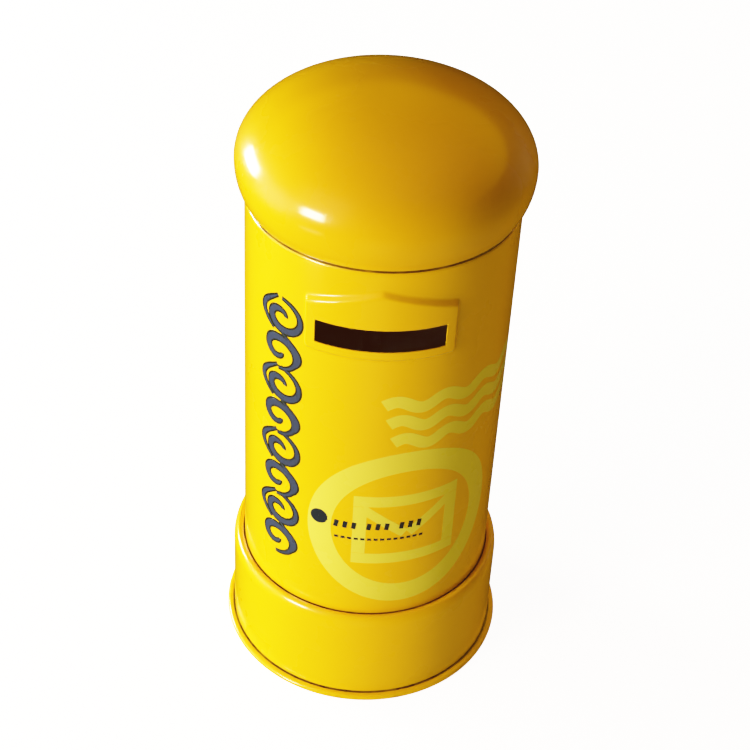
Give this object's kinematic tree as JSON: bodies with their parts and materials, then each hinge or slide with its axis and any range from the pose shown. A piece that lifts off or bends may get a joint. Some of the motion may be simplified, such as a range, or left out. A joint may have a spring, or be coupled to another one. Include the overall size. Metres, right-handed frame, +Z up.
{
  "type": "tin money box",
  "caption": "Round yellow tinplate money box with a lift-off mushroom lid, an embossed hood over the coin slot and a wide seamed plinth.",
  "frame": {"origin": "centre of the base rim on the surface the box stands on", "axes": "+Z up along the axis of the tube, -Y towards the coin slot, +X to the right when the slot faces the viewer"},
  "size_m": [0.0836, 0.0836, 0.1823],
  "materials": {
    "yellow_enamel": "glossy baked enamel on tinplate",
    "yellow_print": "glossy lacquer over printed tinplate",
    "bare_tinplate": "bright rolled tinplate with a clear lacquer"
  },
  "bodies": {
    "box": {"body_shell": "yellow_print", "plinth_shell": "yellow_enamel", "base_plate": "yellow_enamel"},
    "lid": {"lid_dome": "yellow_enamel", "lid_plug": "bare_tinplate"}
  },
  "joints": [
    {"name": "lid_lift", "type": "slide", "parent": "box", "child": "lid", "axis": [0, 0, 1], "range_m": [0, 0.045]}
  ]
}
